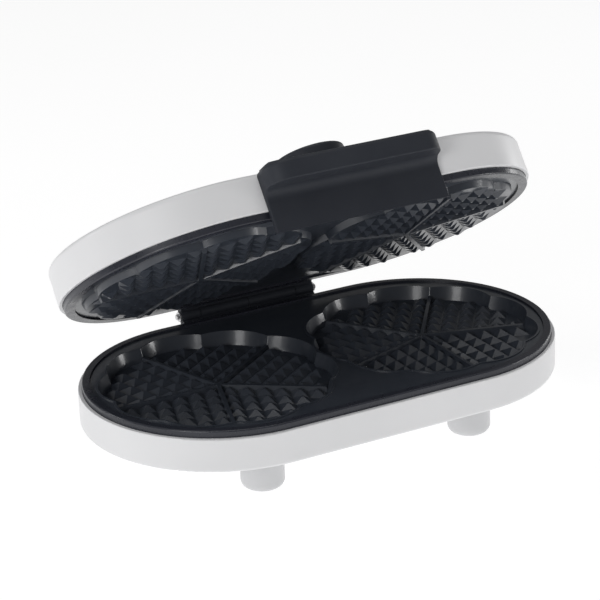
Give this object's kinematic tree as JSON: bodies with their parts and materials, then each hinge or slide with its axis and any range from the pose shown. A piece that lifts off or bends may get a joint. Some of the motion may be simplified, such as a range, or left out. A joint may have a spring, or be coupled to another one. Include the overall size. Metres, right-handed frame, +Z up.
{
  "type": "double waffle maker",
  "caption": "Countertop waffle maker with a stadium-shaped pale housing on round feet, dark cast heart-mould plates, a rear-hinged lid standing open, a front handle and a dial",
  "frame": {"origin": "on the table, at the middle of the whole object's plan with the lid standing open", "axes": "+X along the long side, to the right seen from the handle; +Y to the back, where the hinge is; +Z up"},
  "size_m": [0.424, 0.2652, 0.2664],
  "materials": {
    "white_housing": "satin moulded, pale cool white",
    "frame_plastic": "smooth moulded, soft gloss",
    "black_plastic": "fine-grained moulded",
    "dial_plastic": "fine-grained moulded",
    "coated_cast": "cast, dark glossy non-stick coating",
    "steel": "zinc-plated",
    "shield_sheet": "thin rolled sheet",
    "heater_sheath": "heat-tinted tube",
    "foot_rubber": "matt",
    "ceramic": "unglazed",
    "lamp_socket": "heat-resistant moulding",
    "fuse_case": "drawn case",
    "copper": "drawn copper",
    "brass_screw": "turned",
    "red_lens": "tinted moulded lens",
    "green_lens": "tinted moulded lens"
  },
  "bodies": {
    "base": {"base_shell": "white_housing", "base_frame": "frame_plastic", "lower_plate": "coated_cast", "lower_plate_screws": "steel", "lower_heaters": "heater_sheath", "lower_heater_clamps": "steel", "lower_clamp_screws": "steel", "lower_shields": "shield_sheet", "lower_shield_screws": "steel", "base_case_screws": "steel", "feet": "white_housing", "foot_pads": "foot_rubber", "foot_screws": "steel", "base_hinge_bracket": "black_plastic", "base_hinge_screws": "steel", "hinge_pin": "steel", "hinge_pin_clips": "steel", "cord_gland": "black_plastic", "terminal_block": "ceramic", "terminal_screws": "brass_screw", "thermal_fuse": "fuse_case", "fuse_clip": "steel"},
    "lid": {"lid_shell": "white_housing", "lid_frame": "frame_plastic", "upper_plate": "coated_cast", "upper_plate_screws": "steel", "upper_heaters": "heater_sheath", "upper_heater_clamps": "steel", "upper_clamp_screws": "steel", "upper_shields": "shield_sheet", "upper_shield_screws": "steel", "lid_case_screws": "steel", "lid_hinge_ears": "black_plastic", "lid_hinge_screws": "steel", "handle_grip": "black_plastic", "handle_screws": "steel", "handle_cover": "black_plastic", "thermostat_body": "lamp_socket", "thermostat_nut": "steel", "thermostat_bulb": "copper", "lamp_holders": "lamp_socket", "power_lamp": "red_lens", "ready_lamp": "green_lens"},
    "dial": {"thermostat_dial": "dial_plastic", "dial_shaft": "steel"}
  },
  "joints": [
    {"name": "lid_hinge", "type": "hinge", "parent": "base", "child": "lid", "pos_m": [0, 0.12048, 0.0681], "axis": [-1, 0, 0], "range_deg": [-36.46, 55]},
    {"name": "dial_turn", "type": "hinge", "parent": "lid", "child": "dial", "pos_m": [0, -0.01356, 0.22173], "axis": [0, 0.5943, 0.8043], "range_deg": [-135, 135]}
  ]
}
